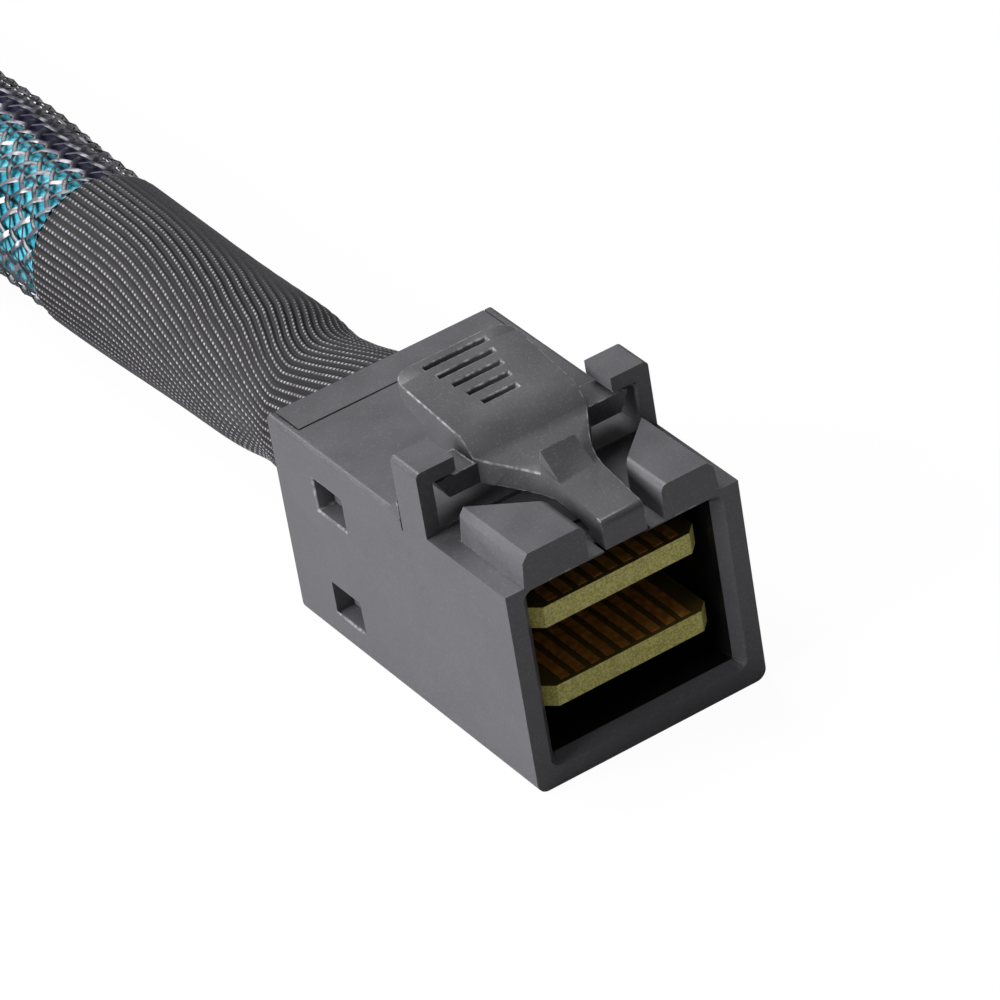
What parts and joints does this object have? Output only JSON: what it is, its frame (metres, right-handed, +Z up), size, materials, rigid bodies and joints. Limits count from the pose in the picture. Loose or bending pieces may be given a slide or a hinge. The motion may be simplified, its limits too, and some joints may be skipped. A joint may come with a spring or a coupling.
{
  "type": "internal data cable",
  "caption": "Sleeved internal data cable with a press-latch dual-card plug at one end and a flat sprung-latch plug at the other.",
  "frame": {"origin": "on the resting surface, under the middle of the near plug and its boot", "axes": "+Y from the near plug's mouth towards its cable, +Z up from the surface, +X to the right seen from the mouth"},
  "size_m": [0.0973, 0.1452, 0.0158],
  "materials": {
    "moulded_grey": "fine satin mould texture",
    "latch_grey": "satin",
    "inner_moulding": "matte",
    "board": "bare glass-fibre board with gold contacts",
    "pair_foil": "wrapped foil",
    "wire_teal": "extruded insulation",
    "boot_black": "ribbed woven shrink tube",
    "braid": "open monofilament braid",
    "far_shell": "fine spark texture",
    "nose_steel": "plated sheet"
  },
  "bodies": {
    "root": {"plug_shell": "moulded_grey", "rear_cover": "moulded_grey", "upper_paddle_card": "board", "lower_paddle_card": "board", "card_spacer": "inner_moulding", "boot": "boot_black", "braided_sleeve": "braid", "far_lower_shell": "far_shell", "far_upper_shell": "far_shell", "far_nose": "nose_steel", "far_paddle_card": "board", "far_insulator": "inner_moulding", "far_boot": "boot_black", "twinax_pair_1": "pair_foil", "twinax_pair_2": "pair_foil", "twinax_pair_3": "pair_foil", "twinax_pair_4": "pair_foil", "twinax_pair_5": "pair_foil", "twinax_pair_6": "pair_foil", "twinax_pair_7": "pair_foil", "twinax_pair_8": "pair_foil", "sideband_wire_1": "wire_teal", "sideband_wire_2": "wire_teal", "sideband_wire_3": "wire_teal", "sideband_wire_4": "wire_teal", "sideband_wire_5": "wire_teal", "sideband_wire_6": "wire_teal", "sideband_wire_7": "wire_teal", "sideband_wire_8": "wire_teal"},
    "near_latch": {"release_latch": "latch_grey"},
    "far_latch_body": {"far_latch": "nose_steel", "far_button": "far_shell"}
  },
  "joints": [
    {"name": "near_latch_press", "type": "hinge", "parent": "root", "child": "near_latch", "pos_m": [0, -0.02088, 0.0102], "axis": [-1, 0, 0], "range_deg": [0, 8], "stiffness_Nm_per_rad": 0.01},
    {"name": "far_latch_press", "type": "hinge", "parent": "root", "child": "far_latch_body", "pos_m": [-0.08, -0.02757, 0.00547], "axis": [1, 0, 0], "range_deg": [0, 2.4], "stiffness_Nm_per_rad": 0.01}
  ]
}
